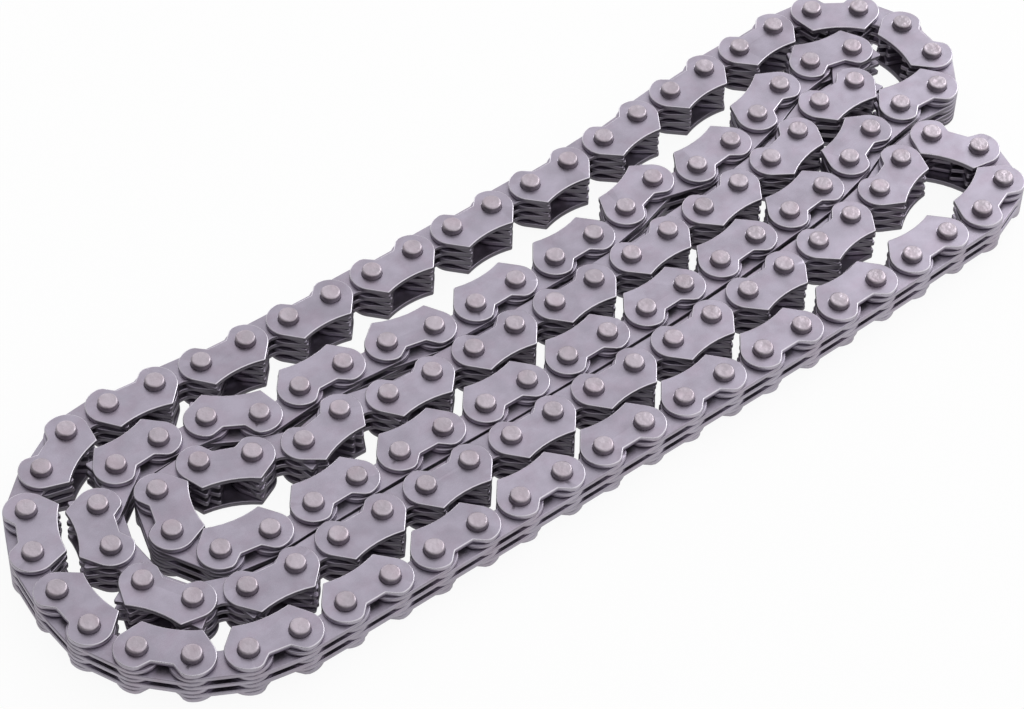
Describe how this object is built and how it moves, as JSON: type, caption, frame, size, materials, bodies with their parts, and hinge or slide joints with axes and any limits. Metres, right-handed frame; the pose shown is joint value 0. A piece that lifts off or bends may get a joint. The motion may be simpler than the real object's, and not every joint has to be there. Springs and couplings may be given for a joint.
{
  "type": "silent chain",
  "caption": "Endless silent timing chain with laced toothed plates, outer guide plates and riveted pins, lying on its side in folded strands.",
  "frame": {"origin": "middle of the lay's outline, on the face the pin ends stand on", "axes": "+X along the strands, +Y from the lower strand to the upper one, +Z along the pins, upwards"},
  "size_m": [0.1478, 0.0482, 0.0067],
  "materials": {
    "guide_plates": "satin ground steel, slightly purple grey",
    "toothed_plates": "satin ground steel",
    "pins": "satin steel with a warmer tint"
  },
  "bodies": {
    "coil": {"coil_guide_plates": "guide_plates", "coil_guide_row_toothed_plates": "toothed_plates", "coil_plain_row_toothed_plates": "toothed_plates", "coil_pins": "pins"},
    "lower_plain_link_01": {"lower_plain_link_01": "toothed_plates"},
    "lower_guide_link_01": {"lower_guide_link_01": "guide_plates"},
    "lower_plain_link_02": {"lower_plain_link_02": "toothed_plates"},
    "lower_guide_link_02": {"lower_guide_link_02": "guide_plates"},
    "lower_plain_link_03": {"lower_plain_link_03": "toothed_plates"},
    "lower_guide_link_03": {"lower_guide_link_03": "guide_plates"},
    "lower_plain_link_04": {"lower_plain_link_04": "toothed_plates"},
    "lower_guide_link_04": {"lower_guide_link_04": "guide_plates"},
    "lower_plain_link_05": {"lower_plain_link_05": "toothed_plates"},
    "lower_guide_link_05": {"lower_guide_link_05": "guide_plates"},
    "lower_plain_link_06": {"lower_plain_link_06": "toothed_plates"},
    "lower_guide_link_06": {"lower_guide_link_06": "guide_plates"},
    "lower_plain_link_07": {"lower_plain_link_07": "toothed_plates"},
    "lower_guide_link_07": {"lower_guide_link_07": "guide_plates"},
    "lower_plain_link_08": {"lower_plain_link_08": "toothed_plates"},
    "lower_guide_link_08": {"lower_guide_link_08": "guide_plates"},
    "lower_plain_link_09": {"lower_plain_link_09": "toothed_plates"},
    "lower_guide_link_09": {"lower_guide_link_09": "guide_plates"},
    "lower_plain_link_10": {"lower_plain_link_10": "toothed_plates"},
    "lower_guide_link_10": {"lower_guide_link_10": "guide_plates"},
    "lower_plain_link_11": {"lower_plain_link_11": "toothed_plates"},
    "lower_guide_link_11": {"lower_guide_link_11": "guide_plates"},
    "lower_plain_link_12": {"lower_plain_link_12": "toothed_plates"},
    "upper_plain_link_01": {"upper_plain_link_01": "toothed_plates"},
    "upper_guide_link_01": {"upper_guide_link_01": "guide_plates"},
    "upper_plain_link_02": {"upper_plain_link_02": "toothed_plates"},
    "upper_guide_link_02": {"upper_guide_link_02": "guide_plates"},
    "upper_plain_link_03": {"upper_plain_link_03": "toothed_plates"},
    "upper_guide_link_03": {"upper_guide_link_03": "guide_plates"},
    "upper_plain_link_04": {"upper_plain_link_04": "toothed_plates"},
    "upper_guide_link_04": {"upper_guide_link_04": "guide_plates"},
    "upper_plain_link_05": {"upper_plain_link_05": "toothed_plates"},
    "upper_guide_link_05": {"upper_guide_link_05": "guide_plates"},
    "upper_plain_link_06": {"upper_plain_link_06": "toothed_plates"},
    "upper_guide_link_06": {"upper_guide_link_06": "guide_plates"},
    "upper_plain_link_07": {"upper_plain_link_07": "toothed_plates"},
    "upper_guide_link_07": {"upper_guide_link_07": "guide_plates"},
    "upper_plain_link_08": {"upper_plain_link_08": "toothed_plates"},
    "upper_guide_link_08": {"upper_guide_link_08": "guide_plates"},
    "upper_plain_link_09": {"upper_plain_link_09": "toothed_plates"},
    "upper_guide_link_09": {"upper_guide_link_09": "guide_plates"},
    "upper_plain_link_10": {"upper_plain_link_10": "toothed_plates"},
    "upper_guide_link_10": {"upper_guide_link_10": "guide_plates"},
    "upper_plain_link_11": {"upper_plain_link_11": "toothed_plates"},
    "upper_guide_link_11": {"upper_guide_link_11": "guide_plates"},
    "upper_plain_link_12": {"upper_plain_link_12": "toothed_plates"},
    "upper_guide_link_12": {"upper_guide_link_12": "guide_plates"},
    "upper_plain_link_13": {"upper_plain_link_13": "toothed_plates"},
    "upper_guide_link_13": {"upper_guide_link_13": "guide_plates"},
    "upper_plain_link_14": {"upper_plain_link_14": "toothed_plates"},
    "closing_link": {"closing_link_guide_plates": "guide_plates", "closing_link_toothed_plates": "toothed_plates", "closing_link_pin": "pins", "closing_link_pin_ends": "pins"}
  },
  "joints": [
    {"name": "lower_plain_link_01_hinge", "type": "hinge", "parent": "coil", "child": "lower_plain_link_01", "pos_m": [0.06294, -0.01198, 0], "axis": [0, 0, 1], "range_deg": [0, 12]},
    {"name": "lower_guide_link_01_hinge", "type": "hinge", "parent": "lower_plain_link_01", "child": "lower_guide_link_01", "pos_m": [0.06133, -0.01812, 0], "axis": [0, 0, 1], "range_deg": [0, 12]},
    {"name": "lower_plain_link_02_hinge", "type": "hinge", "parent": "lower_guide_link_01", "child": "lower_plain_link_02", "pos_m": [0.05538, -0.02036, 0], "axis": [0, 0, 1], "range_deg": [0, 12]},
    {"name": "lower_guide_link_02_hinge", "type": "hinge", "parent": "lower_plain_link_02", "child": "lower_guide_link_02", "pos_m": [0.04904, -0.02054, 0], "axis": [0, 0, 1], "range_deg": [0, 12]},
    {"name": "lower_plain_link_03_hinge", "type": "hinge", "parent": "lower_guide_link_02", "child": "lower_plain_link_03", "pos_m": [0.04269, -0.02081, 0], "axis": [0, 0, 1], "range_deg": [0, 12]},
    {"name": "lower_guide_link_03_hinge", "type": "hinge", "parent": "lower_plain_link_03", "child": "lower_guide_link_03", "pos_m": [0.03634, -0.021, 0], "axis": [0, 0, 1], "range_deg": [0, 12]},
    {"name": "lower_plain_link_04_hinge", "type": "hinge", "parent": "lower_guide_link_03", "child": "lower_plain_link_04", "pos_m": [0.03, -0.02113, 0], "axis": [0, 0, 1], "range_deg": [0, 12]},
    {"name": "lower_guide_link_04_hinge", "type": "hinge", "parent": "lower_plain_link_04", "child": "lower_guide_link_04", "pos_m": [0.02365, -0.02122, 0], "axis": [0, 0, 1], "range_deg": [0, 12]},
    {"name": "lower_plain_link_05_hinge", "type": "hinge", "parent": "lower_guide_link_04", "child": "lower_plain_link_05", "pos_m": [0.0173, -0.02127, 0], "axis": [0, 0, 1], "range_deg": [0, 12]},
    {"name": "lower_guide_link_05_hinge", "type": "hinge", "parent": "lower_plain_link_05", "child": "lower_guide_link_05", "pos_m": [0.01095, -0.02127, 0], "axis": [0, 0, 1], "range_deg": [0, 12]},
    {"name": "lower_plain_link_06_hinge", "type": "hinge", "parent": "lower_guide_link_05", "child": "lower_plain_link_06", "pos_m": [0.0046, -0.02126, 0], "axis": [0, 0, 1], "range_deg": [0, 12]},
    {"name": "lower_guide_link_06_hinge", "type": "hinge", "parent": "lower_plain_link_06", "child": "lower_guide_link_06", "pos_m": [-0.00175, -0.02126, 0], "axis": [0, 0, 1], "range_deg": [0, 12]},
    {"name": "lower_plain_link_07_hinge", "type": "hinge", "parent": "lower_guide_link_06", "child": "lower_plain_link_07", "pos_m": [-0.0081, -0.02126, 0], "axis": [0, 0, 1], "range_deg": [0, 12]},
    {"name": "lower_guide_link_07_hinge", "type": "hinge", "parent": "lower_plain_link_07", "child": "lower_guide_link_07", "pos_m": [-0.01445, -0.02127, 0], "axis": [0, 0, 1], "range_deg": [0, 12]},
    {"name": "lower_plain_link_08_hinge", "type": "hinge", "parent": "lower_guide_link_07", "child": "lower_plain_link_08", "pos_m": [-0.0208, -0.02126, 0], "axis": [0, 0, 1], "range_deg": [0, 12]},
    {"name": "lower_guide_link_08_hinge", "type": "hinge", "parent": "lower_plain_link_08", "child": "lower_guide_link_08", "pos_m": [-0.02715, -0.02124, 0], "axis": [0, 0, 1], "range_deg": [0, 12]},
    {"name": "lower_plain_link_09_hinge", "type": "hinge", "parent": "lower_guide_link_08", "child": "lower_plain_link_09", "pos_m": [-0.0335, -0.02122, 0], "axis": [0, 0, 1], "range_deg": [0, 12]},
    {"name": "lower_guide_link_09_hinge", "type": "hinge", "parent": "lower_plain_link_09", "child": "lower_guide_link_09", "pos_m": [-0.03985, -0.0212, 0], "axis": [0, 0, 1], "range_deg": [0, 12]},
    {"name": "lower_plain_link_10_hinge", "type": "hinge", "parent": "lower_guide_link_09", "child": "lower_plain_link_10", "pos_m": [-0.0462, -0.02114, 0], "axis": [0, 0, 1], "range_deg": [0, 12]},
    {"name": "lower_guide_link_10_hinge", "type": "hinge", "parent": "lower_plain_link_10", "child": "lower_guide_link_10", "pos_m": [-0.05255, -0.021, 0], "axis": [0, 0, 1], "range_deg": [0, 12]},
    {"name": "lower_plain_link_11_hinge", "type": "hinge", "parent": "lower_guide_link_10", "child": "lower_plain_link_11", "pos_m": [-0.05878, -0.01975, 0], "axis": [0, 0, 1], "range_deg": [0, 12]},
    {"name": "lower_guide_link_11_hinge", "type": "hinge", "parent": "lower_plain_link_11", "child": "lower_guide_link_11", "pos_m": [-0.0643, -0.01662, 0], "axis": [0, 0, 1], "range_deg": [0, 12]},
    {"name": "lower_plain_link_12_hinge", "type": "hinge", "parent": "lower_guide_link_11", "child": "lower_plain_link_12", "pos_m": [-0.06855, -0.0119, 0], "axis": [0, 0, 1], "range_deg": [0, 12]},
    {"name": "closing_link_hinge", "type": "hinge", "parent": "lower_plain_link_12", "child": "closing_link", "pos_m": [-0.071, -0.00604, 0], "axis": [0, 0, 1], "range_deg": [0, 12]},
    {"name": "upper_plain_link_01_hinge", "type": "hinge", "parent": "coil", "child": "upper_plain_link_01", "pos_m": [0.06671, -0.00023, 0], "axis": [0, 0, -1], "range_deg": [0, 12]},
    {"name": "upper_guide_link_01_hinge", "type": "hinge", "parent": "upper_plain_link_01", "child": "upper_guide_link_01", "pos_m": [0.07057, 0.00481, 0], "axis": [0, 0, -1], "range_deg": [0, 12]},
    {"name": "upper_plain_link_02_hinge", "type": "hinge", "parent": "upper_guide_link_01", "child": "upper_plain_link_02", "pos_m": [0.0711, 0.01114, 0], "axis": [0, 0, -1], "range_deg": [0, 12]},
    {"name": "upper_guide_link_02_hinge", "type": "hinge", "parent": "upper_plain_link_02", "child": "upper_guide_link_02", "pos_m": [0.06858, 0.01697, 0], "axis": [0, 0, -1], "range_deg": [0, 12]},
    {"name": "upper_plain_link_03_hinge", "type": "hinge", "parent": "upper_guide_link_02", "child": "upper_plain_link_03", "pos_m": [0.06337, 0.0206, 0], "axis": [0, 0, -1], "range_deg": [0, 12]},
    {"name": "upper_guide_link_03_hinge", "type": "hinge", "parent": "upper_plain_link_03", "child": "upper_guide_link_03", "pos_m": [0.05706, 0.02127, 0], "axis": [0, 0, -1], "range_deg": [0, 12]},
    {"name": "upper_plain_link_04_hinge", "type": "hinge", "parent": "upper_guide_link_03", "child": "upper_plain_link_04", "pos_m": [0.05072, 0.0209, 0], "axis": [0, 0, -1], "range_deg": [0, 12]},
    {"name": "upper_guide_link_04_hinge", "type": "hinge", "parent": "upper_plain_link_04", "child": "upper_guide_link_04", "pos_m": [0.04437, 0.02074, 0], "axis": [0, 0, -1], "range_deg": [0, 12]},
    {"name": "upper_plain_link_05_hinge", "type": "hinge", "parent": "upper_guide_link_04", "child": "upper_plain_link_05", "pos_m": [0.03804, 0.02021, 0], "axis": [0, 0, -1], "range_deg": [0, 12]},
    {"name": "upper_guide_link_05_hinge", "type": "hinge", "parent": "upper_plain_link_05", "child": "upper_guide_link_05", "pos_m": [0.03173, 0.0195, 0], "axis": [0, 0, -1], "range_deg": [0, 12]},
    {"name": "upper_plain_link_06_hinge", "type": "hinge", "parent": "upper_guide_link_05", "child": "upper_plain_link_06", "pos_m": [0.02543, 0.01875, 0], "axis": [0, 0, -1], "range_deg": [0, 12]},
    {"name": "upper_guide_link_06_hinge", "type": "hinge", "parent": "upper_plain_link_06", "child": "upper_guide_link_06", "pos_m": [0.01909, 0.0183, 0], "axis": [0, 0, -1], "range_deg": [0, 12]},
    {"name": "upper_plain_link_07_hinge", "type": "hinge", "parent": "upper_guide_link_06", "child": "upper_plain_link_07", "pos_m": [0.01275, 0.01814, 0], "axis": [0, 0, -1], "range_deg": [0, 12]},
    {"name": "upper_guide_link_07_hinge", "type": "hinge", "parent": "upper_plain_link_07", "child": "upper_guide_link_07", "pos_m": [0.0064, 0.01808, 0], "axis": [0, 0, -1], "range_deg": [0, 12]},
    {"name": "upper_plain_link_08_hinge", "type": "hinge", "parent": "upper_guide_link_07", "child": "upper_plain_link_08", "pos_m": [0.00005, 0.01804, 0], "axis": [0, 0, -1], "range_deg": [0, 12]},
    {"name": "upper_guide_link_08_hinge", "type": "hinge", "parent": "upper_plain_link_08", "child": "upper_guide_link_08", "pos_m": [-0.0063, 0.018, 0], "axis": [0, 0, -1], "range_deg": [0, 12]},
    {"name": "upper_plain_link_09_hinge", "type": "hinge", "parent": "upper_guide_link_08", "child": "upper_plain_link_09", "pos_m": [-0.01265, 0.018, 0], "axis": [0, 0, -1], "range_deg": [0, 12]},
    {"name": "upper_guide_link_09_hinge", "type": "hinge", "parent": "upper_plain_link_09", "child": "upper_guide_link_09", "pos_m": [-0.019, 0.01806, 0], "axis": [0, 0, -1], "range_deg": [0, 12]},
    {"name": "upper_plain_link_10_hinge", "type": "hinge", "parent": "upper_guide_link_09", "child": "upper_plain_link_10", "pos_m": [-0.02535, 0.01816, 0], "axis": [0, 0, -1], "range_deg": [0, 12]},
    {"name": "upper_guide_link_10_hinge", "type": "hinge", "parent": "upper_plain_link_10", "child": "upper_guide_link_10", "pos_m": [-0.0317, 0.01833, 0], "axis": [0, 0, -1], "range_deg": [0, 12]},
    {"name": "upper_plain_link_11_hinge", "type": "hinge", "parent": "upper_guide_link_10", "child": "upper_plain_link_11", "pos_m": [-0.03804, 0.01868, 0], "axis": [0, 0, -1], "range_deg": [0, 12]},
    {"name": "upper_guide_link_11_hinge", "type": "hinge", "parent": "upper_plain_link_11", "child": "upper_guide_link_11", "pos_m": [-0.04435, 0.01938, 0], "axis": [0, 0, -1], "range_deg": [0, 12]},
    {"name": "upper_plain_link_12_hinge", "type": "hinge", "parent": "upper_guide_link_11", "child": "upper_plain_link_12", "pos_m": [-0.05067, 0.02003, 0], "axis": [0, 0, -1], "range_deg": [0, 12]},
    {"name": "upper_guide_link_12_hinge", "type": "hinge", "parent": "upper_plain_link_12", "child": "upper_guide_link_12", "pos_m": [-0.05699, 0.01947, 0], "axis": [0, 0, -1], "range_deg": [0, 12]},
    {"name": "upper_plain_link_13_hinge", "type": "hinge", "parent": "upper_guide_link_12", "child": "upper_plain_link_13", "pos_m": [-0.06255, 0.01639, 0], "axis": [0, 0, -1], "range_deg": [0, 12]},
    {"name": "upper_guide_link_13_hinge", "type": "hinge", "parent": "upper_plain_link_13", "child": "upper_guide_link_13", "pos_m": [-0.06738, 0.01227, 0], "axis": [0, 0, -1], "range_deg": [0, 12]},
    {"name": "upper_plain_link_14_hinge", "type": "hinge", "parent": "upper_guide_link_13", "child": "upper_plain_link_14", "pos_m": [-0.07022, 0.00659, 0], "axis": [0, 0, -1], "range_deg": [0, 12]}
  ]
}
